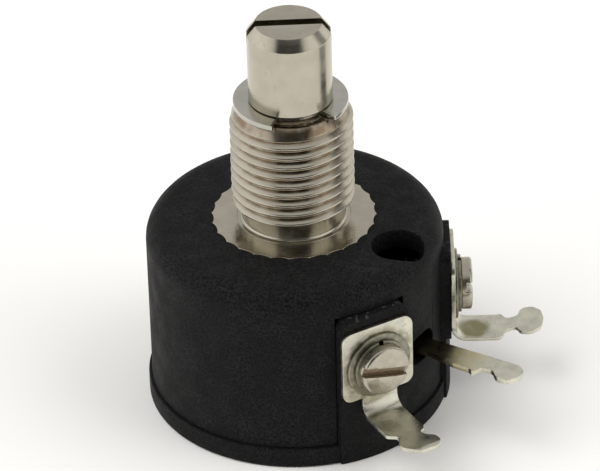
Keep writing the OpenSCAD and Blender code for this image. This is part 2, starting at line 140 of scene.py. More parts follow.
class BushingSizes(bpy.types.PropertyGroup):
    """Sizes of the threaded bushing."""

    thread_d: length("Thread", 8.84, "Diameter over the thread's crests")
    pitch: length("Pitch", 0.79, "Pitch of the thread")
    thread_depth: length("Thread depth", 0.44, "Depth of the thread")
    lead: length("Thread start", -0.33, "Shifts the thread along the axis", low=-5)
    neck_h: length("Neck height", 1.5, "Height of the plain neck under the thread")
    neck_depth: length("Neck depth", 0.72, "Depth of the neck below the crests")
    mouth: length("Mouth chamfer", 1.02, "Height of the chamfer at the mouth")
    sink: length("Countersink", 0.42, "Radial size of the countersink inside the mouth")
    fillet: length("Neck fillet", 0.3, "Radius where the neck meets the flange")
    mouth_r: length("Mouth radius", 3.56, "Radius at the top of the mouth chamfer")
    bore_gap: length("Bore clearance", 0.03, "Running clearance round the shaft")
    flange_d: length("Flange", 11.9, "Diameter over the tips of the flange")
    flange_proud: length("Flange proud", 0.15, "Height of the flange above the cover")
    flange_sunk: length("Flange sunk", 0.9, "Thickness of the flange inside the cover")
    teeth: IntProperty(name="Scallops", default=28, min=8, description="Scallops round the flange")
    scallop: length("Scallop depth", 0.16, "Depth of each scallop")
    spigot_d: length("Spigot", 9.6, "Diameter of the spigot through the cover's top")
    stake: length("Staked lip", 0.4, "Size of the staked lip under the cover's top")


class ShaftSizes(bpy.types.PropertyGroup):
    """Sizes of the shaft and its retaining clip."""

    chamfer_r: length("Chamfer width", 0.62, "Radial size of the chamfer at the tip")
    chamfer_h: length("Chamfer height", 0.8, "Height of the chamfer at the tip")
    slot_w: length("Slot width", 0.75, "Width of the screwdriver slot")
    slot_h: length("Slot depth", 1.3, "Depth of the screwdriver slot")
    slot_turn: turn("Slot turn", 32, "Direction of the slot at rest")
    groove: length("Groove", 0.5, "Depth of the clip's groove")
    spindle_d: length("Spindle", 4.4, "Diameter of the spindle inside the body")
    spindle_l: length("Spindle length", 3.6, "Length of the spindle above its staked head")
    clip_in: length("Clip inside", 2.52, "Inside radius of the clip")
    clip_gap: turn("Clip opening", 68, "Opening of the clip")
    clip_turn: turn("Clip direction", -45, "Direction of the middle of the clip's opening")


class TerminalSizes(bpy.types.PropertyGroup):
    """Sizes of the terminals, their screws and washers."""

    plate_w: length("Plate", 5.8, "Side of the square plate")
    plate_corner: length("Plate corner", 0.9, "Radius of the plate's corners")
    sheet: length("Sheet", 0.3, "Thickness of the stamped sheet")
    bend_r: length("Bend", 0.9, "Inside radius of the bend")
    strap_end: length("Strap length", 3.55, "Distance from the pad to the end of the strap")
    reach: length("Reach", 6.75, "Distance from the pad to the tip of the lug")
    head_lift_1: length("First lug's lift", 0.3, "How far the first lug's head is bent up")
    head_lift_3: length("Third lug's lift", 0.55, "How far the third lug's head is bent up")
    screw_z: length("Screw height", 8.25, "Height of the screw's axis")
    screw_d: length("Screw", 2.5, "Diameter of the screw's thread")
    screw_pitch: length("Screw pitch", 0.45, "Pitch of the screw's thread")
    screw_head_d: length("Screw head", 3.8, "Diameter of the screw's head")
    screw_head_h: length("Screw head height", 0.85, "Height of the screw's head")
    slot_w: length("Slot width", 0.7, "Width of the slot in the head")
    slot_h: length("Slot depth", 0.45, "Depth of the slot in the head")
    slot_turn_1: turn("First slot", -15, "Turn of the first screw's slot")
    slot_turn_3: turn("Third slot", -22, "Turn of the third screw's slot")
    washer_d: length("Flat washer", 5.1, "Diameter of the flat washer")
    washer_t: length("Flat washer thickness", 0.22, "Thickness of the flat washer")
    lock_d: length("Lock washer", 4.2, "Diameter of the split lock washer")
    lock_t: length("Lock washer thickness", 0.25, "Thickness of the split lock washer")
    strip_w: length("Strip", 2.1, "Width of the middle terminal")
    strip_head: length("Strip head", 2.12, "Width of the middle terminal's head")


class Finishes(bpy.types.PropertyGroup):
    """Colours of the finishes."""

    moulding: tint("Moulding", (0.0065, 0.0065, 0.0068), "Black moulded body")
    nickel: tint("Nickel", (0.485, 0.448, 0.37), "Nickel plate on shaft and bushing")
    tin: tint("Tin", (0.68, 0.66, 0.555), "Dull tin plate on the terminals")
    steel: tint("Steel", (0.50, 0.49, 0.44), "Satin steel of the clip")
    stained: tint("Stained steel", (0.27, 0.26, 0.20), "Stained steel of the washers")
    tarnish: tint("Tarnish", (0.165, 0.115, 0.07), "Brown tarnish in slots and thread roots")


class StageSettings(bpy.types.PropertyGroup):
    """Camera and light."""

    lens: FloatProperty(name="Lens", default=270, min=20, description="Focal length in millimetres")
    azimuth: turn("Azimuth", 30.5, "Direction in which the camera looks, from +Y")
    tilt: turn("Tilt", 33.4, "How far the camera looks down")
    roll: turn("Roll", -1.64, "Roll of the camera")
    distance: length("Distance", 325.03, "Distance from the camera to the object")
    aim_z: length("Aim height", 12, "Height of the point that the camera looks at")
    shift_x: length("Sideways offset", 0.37, "Camera's offset to its right")
    shift_y: length("Upward offset", 0.59, "Camera's offset upwards")


GROUPS = {
    "pot_body": BodySizes,
    "pot_bushing": BushingSizes,
    "pot_shaft": ShaftSizes,
    "pot_terminals": TerminalSizes,
    "pot_finishes": Finishes,
    "pot_stage": StageSettings,
}


# Outlines

def rounded(corners, steps=5):
    """Closed outline through corners given as (across, up, radius), each rounded to its radius."""
    points = []
    for i, (x, y, radius) in enumerate(corners):
        here = Vector((x, y))
        if not radius:
            points.append(here)
            continue
        back = Vector(corners[i - 1][:2]) - here
        on = Vector(corners[(i + 1) % len(corners)][:2]) - here
        # A corner takes less than half of the sides that it joins
        room = min(back.length, on.length)
        back.normalize()
        on.normalize()
        half = back.angle(on) / 2
        trim = min(radius / math.tan(half), 0.49 * room)
        radius = trim * math.tan(half)
        middle = here + (back + on).normalized() * radius / math.sin(half)
        first = here + back * trim - middle
        last = here + on * trim - middle
        start = math.atan2(first.y, first.x)
        sweep = (math.atan2(last.y, last.x) - start + math.pi) % FULL_TURN - math.pi
        for k in range(steps + 1):
            angle = start + sweep * k / steps
            points.append(middle + radius * Vector((math.cos(angle), math.sin(angle))))
    return points


def oblong(left, right, low, high, radii=(0, 0, 0, 0), steps=5):
    """Four-cornered outline, with its corners' radii from the lower left one round."""
    corners = ((left, low), (right, low), (right, high), (left, high))
    return rounded([(*corner, radius) for corner, radius in zip(corners, radii)], steps)


# Solids

def loop_of(bm, points, closed=True):
    """Edges through points, in order. Returns the new vertices and edges."""
    verts = [bm.verts.new(p) for p in points]
    pairs = zip(verts, verts[1:] + verts[:1] if closed else verts[1:])
    return verts + [bm.edges.new(pair) for pair in pairs]


def tidy(bm):
    """Welds points that meet and turns every face outwards."""
    bmesh.ops.remove_doubles(bm, verts=bm.verts, dist=WELD)
    bmesh.ops.dissolve_degenerate(bm, edges=bm.edges, dist=WELD)
    bmesh.ops.recalc_face_normals(bm, faces=bm.faces)
    return bm


def turned(outline, steps=160, sweep=FULL_TURN, start=0.0):
    """Solid turned about Z from a closed outline of (radius, height)."""
    bm = bmesh.new()
    geom = loop_of(bm, [(r, 0, z) for r, z in outline])
    full = sweep >= FULL_TURN
    if not full:
        geom.append(bm.faces.new(bm.verts[:]))
    bmesh.ops.spin(bm, geom=geom, axis=UP, angle=sweep, steps=steps, use_merge=full)
    if start:
        bmesh.ops.rotate(bm, verts=bm.verts, matrix=Matrix.Rotation(start, 3, "Z"))
    return tidy(bm)


def slab(outline, thickness):
    """Flat outline in the XY plane, thickened upwards."""
    bm = bmesh.new()
    face = bm.faces.new([bm.verts.new((x, y, 0)) for x, y in outline])
    made = bmesh.ops.extrude_face_region(bm, geom=[face])
    verts = [v for v in made["geom"] if isinstance(v, bmesh.types.BMVert)]
    bmesh.ops.translate(bm, verts=verts, vec=UP * thickness)
    return tidy(bm)


def stamped(outline, thickness, edge):
    """Flat stamping whose sheared edges are slightly rounded."""
    bm = slab(outline, thickness)
    sharp = [e for e in bm.edges if e.calc_face_angle(0) > SHEARED]
    bmesh.ops.bevel(bm, geom=sharp, offset=edge, segments=2, affect="EDGES", profile=0.5, material=-1)
    return bm


def stood(bm, x):
    """Turns a slab drawn across and up so that it faces +X, with its back at x."""
    axes = Matrix(((0, 0, 1), (1, 0, 0), (0, 1, 0)))
    matrix = Matrix.Translation((x, 0, 0)) @ axes.to_4x4()
    bmesh.ops.transform(bm, matrix=matrix, verts=bm.verts)
    return bm


def along_x(bm, x, z):
    """Lays a solid turned about Z along +X, at a distance and a height."""
    matrix = Matrix.Translation((x, 0, z)) @ Matrix.Rotation(math.pi / 2, 4, "Y")
    bmesh.ops.transform(bm, matrix=matrix, verts=bm.verts)
    return bm


def swung(bm, angle):
    bmesh.ops.rotate(bm, verts=bm.verts, matrix=Matrix.Rotation(angle, 3, "Z"))
    return bm


def brick(low, high):
    """Rectangular block between two corners, used for cutting."""
    bm = bmesh.new()
    bmesh.ops.create_cube(bm, size=1)
    size = [b - a for a, b in zip(low, high)]
    middle = [(a + b) / 2 for a, b in zip(low, high)]
    bmesh.ops.scale(bm, vec=size, verts=bm.verts)
    bmesh.ops.translate(bm, vec=middle, verts=bm.verts)
    return bm


def rod(radius, low, high, steps=64):
    """Round bar about Z, used for cutting."""
    bm = bmesh.new()
    bmesh.ops.create_cone(bm, cap_ends=True, segments=steps, radius1=radius, radius2=radius,
                          depth=high - low)
    bmesh.ops.translate(bm, vec=UP * (low + high) / 2, verts=bm.verts)
    return bm


def threaded(radius, depth, pitch, low, high, steps=96, lead=0.0):
    """Closed solid with a screw thread that runs past both levels."""
    # The thread's section over one pitch: root, flank, slightly rounded crest, flank, root
    crest = pitch * 0.21
    flank = (pitch - crest * 1.7) / 2
    rise = [(radius - depth, 0), (radius - depth * 0.12, flank * 0.93), (radius, flank + crest * 0.25),
            (radius, flank + crest * 0.75), (radius - depth * 0.12, flank * 1.07 + crest),
            (radius - depth, flank * 2 + crest), (radius - depth, pitch)]
    turns = math.ceil((high - low) / pitch) + 3
    foot = low - 1.5 * pitch + lead
    bm = bmesh.new()
    geom = loop_of(bm, [(r, 0, foot + z) for r, z in rise], closed=False)
    bmesh.ops.spin(bm, geom=geom, axis=UP, angle=FULL_TURN * turns, steps=steps * turns,
                   dvec=UP * pitch / steps)
    bmesh.ops.remove_doubles(bm, verts=bm.verts, dist=WELD)
    middle = (low + high) / 2
    rims = [e for e in bm.edges if e.is_boundary]
    for below in (True, False):
        rim = [e for e in rims if (e.verts[0].co.z < middle) == below]
        made = bmesh.ops.extrude_edge_only(bm, edges=rim)
        tips = [v for v in made["geom"] if isinstance(v, bmesh.types.BMVert)]
        end = foot - pitch if below else foot + (turns + 2) * pitch
        bmesh.ops.pointmerge(bm, verts=tips, merge_co=(0, 0, end))
    return tidy(bm)


# Pieces

def stand(name, bm):
    """Writes a solid to a new object and links it."""
    mesh = bpy.data.meshes.new(name)
    bm.to_mesh(mesh)
    bm.free()
    piece = bpy.data.objects.new(name, mesh)
    bpy.context.scene.collection.objects.link(piece)
    return piece


def settle(piece):
    """Bakes a piece's modifiers into its mesh."""
    bpy.context.view_layer.update()
    seen = piece.evaluated_get(bpy.context.evaluated_depsgraph_get())
    mesh = bpy.data.meshes.new_from_object(seen)
    old = piece.data
    piece.modifiers.clear()
    piece.data = mesh
    mesh.name = piece.name
    bpy.data.meshes.remove(old)


def combine(piece, bm, operation):
    """Adds, cuts or keeps what a second solid covers."""
    tool = stand("tool", bm)
    step = piece.modifiers.new("combine", "BOOLEAN")
    step.operation = operation
    step.object = tool
    step.solver = "EXACT"
    settle(piece)
    bpy.data.objects.remove(tool)
    if not piece.data.polygons:
        raise RuntimeError(f"{piece.name} has no faces left after {operation}")


def cut(piece, *tools):
    for bm in tools:
        combine(piece, bm, "DIFFERENCE")


def weld(piece, *parts):
    for bm in parts:
        combine(piece, bm, "UNION")


def soften(piece, width, angle=math.radians(32), segments=2):
    """Rounds every sharp edge."""
    bevel = piece.modifiers.new("soften", "BEVEL")
    bevel.width = width
    bevel.segments = segments
    bevel.limit_method = "ANGLE"
    bevel.angle_limit = angle
    bevel.profile = 0.5
    bevel.use_clamp_overlap = False
    bevel.loop_slide = False
    settle(piece)


def shade(piece, angle=math.radians(40)):
    """Shades a piece smoothly up to an angle, with its flat faces kept flat."""
    piece.data.shade_smooth()
    piece.data.set_sharp_from_angle(angle=angle)
    even = piece.modifiers.new("even", "WEIGHTED_NORMAL")
    even.keep_sharp = True
    even.weight = 50
    settle(piece)


def declare(piece, node, body, material):
    """Shades a finished piece, gives it its finish and puts it in its node's place."""
    shade(piece)
    piece.data.materials.clear()
    piece.data.materials.append(material)
    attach(piece, body)
    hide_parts(node)
    return piece


# Finishes

class Nodes:
    """Adds linked nodes to one node tree."""

    def __init__(self, tree):
        self.tree = tree

    def add(self, kind, sources, **settings):
        """Adds a node whose inputs are sockets of other nodes or plain values."""
        node = self.tree.nodes.new(kind)
        for name, value in settings.items():
            setattr(node, name, value)
        for socket, source in sources.items():
            if isinstance(source, bpy.types.NodeSocket):
                self.tree.links.new(source, node.inputs[socket])
            else:
                node.inputs[socket].default_value = source
        return node

    def remap(self, source, low, high, to_low=0.0, to_high=1.0):
        sources = {"Value": source, "From Min": low, "From Max": high, "To Min": to_low, "To Max": to_high}
        return self.add("ShaderNodeMapRange", sources, interpolation_type="SMOOTHSTEP").outputs[0]

    def maths(self, operation, a, b):
        return self.add("ShaderNodeMath", {0: a, 1: b}, operation=operation).outputs[0]

    def times(self, a, b):
        return self.maths("MULTIPLY", a, b)


class Finish(Nodes):
    """One surface finish, built from shader nodes on Object coordinates."""

    def __init__(self, name, roughness, metallic=0.0, specular=0.5):
        self.material = bpy.data.materials.new(name)
        self.material.use_nodes = True
        super().__init__(self.material.node_tree)
        self.shader = self.tree.nodes["Principled BSDF"]
        self.shader.inputs["Roughness"].default_value = roughness
        self.shader.inputs["Metallic"].default_value = metallic
        self.shader.inputs["Specular IOR Level"].default_value = specular
        self.place = self.add("ShaderNodeTexCoord", {}).outputs["Object"]

    def noise(self, size, detail=3.0, place=None, stretch=None):
        """Noise from 0 to 1, with features of the given size in metres."""
        place = place or self.place
        if stretch:
            place = self.add("ShaderNodeMapping", {"Vector": place, "Scale": stretch}).outputs[0]
        sources = {"Vector": place, "Scale": 1 / size, "Detail": detail}
        return self.add("ShaderNodeTexNoise", sources).outputs[0]

    def mix(self, factor, a, b):
        """Mixes two colours, each a socket or three numbers."""
        mixer = self.add("ShaderNodeMix", {0: factor}, data_type="RGBA")
        for socket, source in ((6, a), (7, b)):
            if isinstance(source, bpy.types.NodeSocket):
                self.tree.links.new(source, mixer.inputs[socket])
            else:
                mixer.inputs[socket].default_value = (*source, 1)
        return mixer.outputs[2]

    def own_axis(self, spot=(0, 0, 0), tilt=(0, 0, 0)):
        """Distance from a turned piece's own axis, and height along it."""
        sources = {"Vector": self.place, "Location": spot, "Rotation": tilt}
        local = self.add("ShaderNodeMapping", sources, vector_type="TEXTURE").outputs[0]
        parts = self.add("ShaderNodeSeparateXYZ", {0: local})
        flat = self.add("ShaderNodeCombineXYZ", {"X": parts.outputs[0], "Y": parts.outputs[1]}).outputs[0]
        radius = self.add("ShaderNodeVectorMath", {0: flat}, operation="LENGTH").outputs["Value"]
        return radius, parts.outputs[2]

    def colour(self, source):
        self.tree.links.new(source, self.shader.inputs["Base Color"])

    def roughness(self, source):
        self.tree.links.new(source, self.shader.inputs["Roughness"])

    def relief(self, *layers):
        """Bumps, each a height from 0 to 1 and its depth in metres."""
        normal = None
        for height, depth in layers:
            sources = {"Height": height, "Distance": depth, "Strength": 1.0}
            if normal:
                sources["Normal"] = normal
            normal = self.add("ShaderNodeBump", sources).outputs[0]
        self.tree.links.new(normal, self.shader.inputs["Normal"])


def scaled(colour, factor):
    return tuple(min(1.0, c * factor) for c in colour)


def moulding_finish(name, colour, scuff_and_highlight_z=None):
    """Black moulding: a fine even grain, slightly mottled, with a few pale specks, and pale scuffs under a
    top edge that are partly a painted highlight.
    """
    f = Finish(name, roughness=0.6, specular=0.11)
    grain = f.noise(0.16 * MM, 3)
    mottle = f.noise(1.6 * MM, 3)
    specks = f.times(f.remap(f.noise(0.35 * MM, 2), 0.74, 0.80), 0.35)
    base = f.mix(f.remap(grain, 0.3, 0.7), scaled(colour, 0.2), scaled(colour, 2.4))
    base = f.mix(f.remap(mottle, 0.35, 0.7, 0.0, 0.5), base, scaled(colour, 1.2))
    base = f.mix(specks, base, scaled(colour, 4.0))
    if scuff_and_highlight_z is not None:
        # Pale streaks in a band just under the given height: scuffs, and partly a painted highlight along
        # that top edge
        height = f.own_axis()[1]
        streaks = f.remap(f.noise(0.5 * MM, 4), 0.58, 0.68)
        scuffs_and_highlight = f.times(streaks, f.remap(height, scuff_and_highlight_z - 0.35 * MM, scuff_and_highlight_z))
        base = f.mix(f.times(scuffs_and_highlight, 0.6), base, scaled(colour, 12.0))
    f.colour(base)
    f.roughness(f.remap(mottle, 0.3, 0.7, 0.55, 0.68))
    f.relief((f.noise(0.9 * MM, 2), 0.012 * MM), (grain, 0.022 * MM))
    return f.material


def turned_metal(name, colour, tarnish, roots=None, line=0.05):
    """Plated turned metal: tool lines round the axis, cloudy gloss, tarnish in a thread's roots.

    The roots are given as their radius, the crests' radius and the level where the thread starts.
    """
    f = Finish(name, roughness=0.25, metallic=1.0)
    radius, height = f.own_axis()
    lines_at = f.add("ShaderNodeCombineXYZ", {"X": radius, "Z": height}).outputs[0]
    lines = f.noise(line * MM, 2, lines_at)
    cloud = f.noise(1.3 * MM, 4)
    marks = f.remap(f.noise(0.22 * MM, 2, stretch=(1, 1, 0.25)), 0.66, 0.72)
    base = f.mix(f.remap(cloud, 0.3, 0.75), scaled(colour, 0.92), scaled(colour, 1.06))
    base = f.mix(f.times(marks, 0.25), base, scaled(colour, 0.55))
    if roots:
        root_r, crest_r, start_z = roots
        depth = f.remap(radius, root_r, crest_r, 1.0, 0.0)
        zone = f.times(depth, f.remap(height, start_z, start_z + 0.4 * MM))
        patchy = f.times(zone, f.remap(f.noise(0.8 * MM, 4), 0.25, 0.7, 0.35, 1.0))
        base = f.mix(f.times(patchy, 0.92), base, scaled(tarnish, 1.3))
    f.colour(base)
    f.roughness(f.remap(cloud, 0.25, 0.8, 0.13, 0.27))
    f.relief((lines, 0.0045 * MM), (f.noise(0.5 * MM, 3), 0.0022 * MM))
    return f.material


def sheet_finish(name, colour, tarnish, angle=0.0, screw_z=None, stain=None, wear_and_painted_reflection=None):
    """Tin plate on rolled sheet: faint rolling lines, cloudy gloss, small dark spots and stains, and on the
    strip yellow wear with a painted dark reflection near the body.
    """
    f = Finish(name, roughness=0.22, metallic=1.0)
    rolled = f.add("ShaderNodeMapping", {"Vector": f.place, "Rotation": (0, 0, -angle)}).outputs[0]
    lines = f.noise(0.5 * MM, 3, rolled, stretch=(0.08, 1, 1))
    cloud = f.noise(1.1 * MM, 4)
    spots = f.remap(f.noise(0.42 * MM, 3), 0.68, 0.74)
    olive = (colour[0] * 0.38, colour[1] * 0.36, colour[2] * 0.22)
    base = f.mix(f.remap(cloud, 0.3, 0.72), scaled(colour, 0.82), scaled(colour, 1.1))
    base = f.mix(f.times(spots, 0.45), base, tarnish)
    if screw_z is not None:
        # Grime round the washers
        radius = f.own_axis((0, 0, screw_z), (0, math.pi / 2, angle))[0]
        ring = f.remap(radius, 2.5 * MM, 3.3 * MM, 0.75, 0.0)
        grime = f.times(ring, f.remap(f.noise(0.7 * MM, 3), 0.3, 0.6))
        base = f.mix(grime, base, scaled(olive, 0.7))
    if stain is not None:
        away = f.add("ShaderNodeVectorMath", {0: f.place, 1: stain}, operation="DISTANCE").outputs["Value"]
        away = f.maths("ADD", away, f.times(f.noise(0.9 * MM, 3), 0.7 * MM))
        patch = f.times(f.remap(away, 1.2 * MM, 1.75 * MM, 0.95, 0.0), f.remap(cloud, 0.1, 0.5, 0.6, 1.0))
        base = f.mix(patch, base, olive)
    if wear_and_painted_reflection is not None:
        # The plate wears to a yellow tone towards the body; beside the body a dark olive is a painted
        # reflection of the black moulding
        worn_r, bright_r = wear_and_painted_reflection
        radius = f.own_axis()[0]
        near = f.times(f.remap(radius, worn_r, bright_r, 1.0, 0.0), f.remap(cloud, 0.2, 0.6))
        base = f.mix(near, base, (colour[0] * 0.84, colour[1] * 0.76, colour[2] * 0.54))
        # Painted reflection: dark olive on the strip next to the black moulding
        dark = f.remap(radius, worn_r - 1.2 * MM, worn_r - 0.5 * MM, 0.85, 0.0)
        base = f.mix(dark, base, scaled(olive, 0.45))
    f.colour(base)
    f.roughness(f.remap(cloud, 0.25, 0.8, 0.24, 0.40))
    f.relief((lines, 0.004 * MM), (f.noise(0.7 * MM, 3), 0.012 * MM), (f.noise(0.09 * MM, 2), 0.002 * MM))
    return f.material


def screw_finish(name, colour, tarnish, angle, face, slot_r):
    """Plated screw, with brown tarnish inside its slot."""
    spot = Matrix.Rotation(angle, 3, "Z") @ Vector((face, 0, bpy.context.scene.pot_terminals.screw_z))
    tilt = Euler((0, math.pi / 2, angle), "XYZ")
    f = Finish(name, roughness=0.27, metallic=1.0)
    radius, height = f.own_axis(spot, tilt)
    inside = f.times(f.remap(radius, slot_r - 0.1 * MM, slot_r, 1.0, 0.0),
                     f.remap(height, -0.26 * MM, -0.1 * MM, 1.0, 0.0))
    cloud = f.noise(0.6 * MM, 4)
    base = f.mix(f.remap(cloud, 0.3, 0.75), scaled(colour, 0.9), scaled(colour, 1.1))
    f.colour(f.mix(f.times(inside, 0.85), base, tarnish))
    f.roughness(f.remap(cloud, 0.25, 0.8, 0.2, 0.38))
    f.relief((f.noise(0.35 * MM, 3), 0.006 * MM), (f.noise(0.06 * MM, 2), 0.001 * MM))
    return f.material


def plain_finish(name, colour, roughness, metallic, size):
    """Hidden inner pieces: a cloudy colour over a fine grain."""
    f = Finish(name, roughness=roughness, metallic=metallic)
    cloud = f.noise(size, 4)
    f.colour(f.mix(f.remap(cloud, 0.3, 0.7), scaled(colour, 0.75), scaled(colour, 1.2)))
    f.relief((cloud, 0.01 * MM))
    return f.material


# Operators

class PieceOperator(bpy.types.Operator):
    """Base of the operators that make pieces."""

    bl_options = {"REGISTER", "UNDO"}


class POTENTIOMETER_OT_cover(PieceOperator):
    """Make the moulded cover"""

    bl_idname = "potentiometer.cover"
    bl_label = "Cover"

    def execute(self, context):
        s = context.scene.pot_body
        b = context.scene.pot_bushing
        inner = COVER_R - s.wall
        roof_z = TOP_Z - s.roof
        seat_z = TOP_Z - b.flange_sunk
        spigot_r = b.spigot_d / 2
        # The moulding closes in round the scallops of the flange
        recess_r = b.flange_d / 2 - b.scallop - 0.04 * MM
        hole_x = COVER_R - s.hole_in
        pad_x = COVER_R + s.pad_proud
        notch_x = pad_x - s.block_t - s.notch_gap
        side = s.block_w / 2 + s.notch_gap
        notch_top = BASE_HIGH.z + s.notch_gap
        section = rounded([(COVER_R, RIM_Z, 0.08 * MM), (COVER_R, TOP_Z, s.edge_round),
                           (recess_r, TOP_Z, 0.05 * MM), (recess_r, seat_z, 0), (spigot_r, seat_z, 0),
                           (spigot_r, roof_z, 0), (inner, roof_z, 0.2 * MM), (inner, RIM_Z, 0)], steps=8)
        piece = stand("moulded_cover", turned(section, steps=192))
        left = s.window_shift - s.window_w / 2
        right = s.window_shift + s.window_w / 2
        sill = STRIP_LOW.z - s.window_drop
        window = oblong(left, right, sill, sill + s.window_h, [s.window_h * 0.47] * 4)
        cut(piece, stood(slab(window, s.wall + 2 * OVER), inner - OVER))
        hole = rod(s.hole_d / 2, roof_z - OVER, TOP_Z + OVER, 72)
        bmesh.ops.translate(hole, vec=(hole_x, 0, 0), verts=hole.verts)
        cut(piece, hole)
        for angle in TERMINALS.values():
            cut(piece, swung(brick((notch_x, -side, RIM_Z - OVER), (pad_x + OVER, side, notch_top)), angle))
        soften(piece, s.edge_soft)
        finish = moulding_finish("Black moulding, cover", context.scene.pot_finishes.moulding)
        declare(piece, "cover", "housing", finish)
        return {"FINISHED"}


class POTENTIOMETER_OT_base(PieceOperator):
    """Make the moulded base with its two terminal blocks"""

    bl_idname = "potentiometer.base"
    bl_label = "Base"

    def execute(self, context):
        s = context.scene.pot_body
        t = context.scene.pot_terminals
        pad_x = COVER_R + s.pad_proud
        back_x = pad_x - s.block_t
        recess_r = 2.3 * MM
        post_r = s.post_d / 2
        section = [(RIVET_HOLE_R, RECESS_H, 0), (recess_r, RECESS_H, 0), (recess_r, 0, 0),
                   (RIM_R, 0, 0.2 * MM), (RIM_R, RIM_Z, 0.1 * MM), (post_r, RIM_Z, 0.2 * MM),
                   (post_r, STRIP_LOW.z, 0), (RIVET_HOLE_R, STRIP_LOW.z, 0)]
        piece = stand("moulded_base", turned(rounded(section, 4), steps=192))
        half = s.block_w / 2
        front = oblong(-half, half, 0, BASE_HIGH.z, (0, 0, s.block_corner, s.block_corner), 6)
        low_r = pad_x - s.low_relief
        relief = oblong(low_r, low_r + 3 * OVER, -OVER, s.pad_z)
        for angle in TERMINALS.values():
            block = stand("block", stood(slab(front, s.block_t), back_x))
            cut(block, turned(relief, steps=192))
            hole = rod(t.screw_d / 2 + FIT, -OVER, s.block_t + OVER, 48)
            cut(block, along_x(hole, back_x, t.screw_z))
            soften(block, s.edge_soft)
            bm = bmesh.new()
            bm.from_mesh(block.data)
            bpy.data.objects.remove(block)
            weld(piece, swung(bm, angle))
        # Pale scuffs at the top of the terminal blocks, partly a painted highlight on their top edge
        finish = moulding_finish("Black moulding, base", context.scene.pot_finishes.moulding, BASE_HIGH.z)
        declare(piece, "base", "housing", finish)
        return {"FINISHED"}


class POTENTIOMETER_OT_bushing(PieceOperator):
    """Make the threaded bushing with its scalloped flange"""

    bl_idname = "potentiometer.bushing"
    bl_label = "Bushing"

    def execute(self, context):
        s = context.scene.pot_bushing
        body = context.scene.pot_body
        c = context.scene.pot_finishes
        crest_r = s.thread_d / 2
        neck_r = crest_r - s.neck_depth
        bore_r = SHAFT_R + s.bore_gap
        flange_top = TOP_Z + s.flange_proud
        flange_z = TOP_Z - s.flange_sunk
        neck_top = flange_top + s.neck_h
        top = BUSHING_HIGH.z
        roof_z = TOP_Z - body.roof
        lip_r = s.spigot_d / 2 + s.stake
        lip_z = roof_z - FIT
        spigot_r = s.spigot_d / 2 - FIT
        foot_r = neck_r + 0.4 * MM
        tip_r = s.flange_d / 2
        # Inside the bore, which is cut last
        core_r = 0.5 * MM
        # How far neck, flange and spigot run into each other
        lap = 0.25 * MM
        piece = stand("bushing", threaded(crest_r, s.thread_depth, s.pitch, neck_top, top, lead=s.lead))
        blank = rounded([(core_r, neck_top, 0), (neck_r + FIT, neck_top, 0),
                         (crest_r + FIT, neck_top + 0.2 * MM, 0), (crest_r + FIT, top - s.mouth, 0),
                         (s.mouth_r, top, 0.03 * MM), (core_r, top, 0)], 2)
        combine(piece, turned(blank, steps=144), "INTERSECT")
        # Flange: a round plate whose edge is drawn in by the scallops
        flange = bmesh.new()
        per_tooth = 10
        bmesh.ops.create_circle(flange, cap_ends=True, segments=s.teeth * per_tooth, radius=tip_r)
        for i, v in enumerate(sorted(flange.verts, key=lambda v: math.atan2(v.co.y, v.co.x))):
            across = 2 * (i % per_tooth) / per_tooth - 1
            v.co *= 1 - s.scallop * (1 - across * across) / tip_r
        plate = bmesh.ops.extrude_face_region(flange, geom=flange.faces[:])["geom"]
        raised = [v for v in plate if isinstance(v, bmesh.types.BMVert)]
        bmesh.ops.translate(flange, vec=UP * (flange_top - flange_z), verts=raised)
        bmesh.ops.translate(flange, vec=UP * flange_z, verts=flange.verts)
        weld(piece, tidy(flange))
        stem = rounded([(core_r, BUSHING_LOW.z, 0), (lip_r, BUSHING_LOW.z, 0.1 * MM),
                        (lip_r, lip_z, 0.1 * MM), (spigot_r, lip_z, 0), (spigot_r, flange_z + lap, 0),
                        (foot_r, flange_z + lap, 0), (foot_r, flange_top + 0.01 * MM, 0),
                        (neck_r, flange_top + 0.01 * MM, s.fillet), (neck_r, neck_top + lap, 0),
                        (core_r, neck_top + lap, 0)], 3)
        weld(piece, turned(stem, steps=144))
        cut(piece, rod(bore_r, BUSHING_LOW.z - OVER, top + OVER, 144))
        mouth = bmesh.new()
        bmesh.ops.create_cone(mouth, cap_ends=True, segments=144, radius1=bore_r - s.sink,
                              radius2=bore_r + s.sink + s.sink, depth=3 * s.sink)
        bmesh.ops.translate(mouth, vec=UP * (top - s.sink / 2 + s.sink), verts=mouth.verts)
        cut(piece, mouth)
        soften(piece, 0.035 * MM, math.radians(38))
        roots = (crest_r - s.thread_depth, crest_r - 0.12 * MM, neck_top)
        finish = turned_metal("Nickel plate, bushing", c.nickel, c.tarnish, roots=roots)
        declare(piece, "threaded_bushing", "housing", finish)
        return {"FINISHED"}


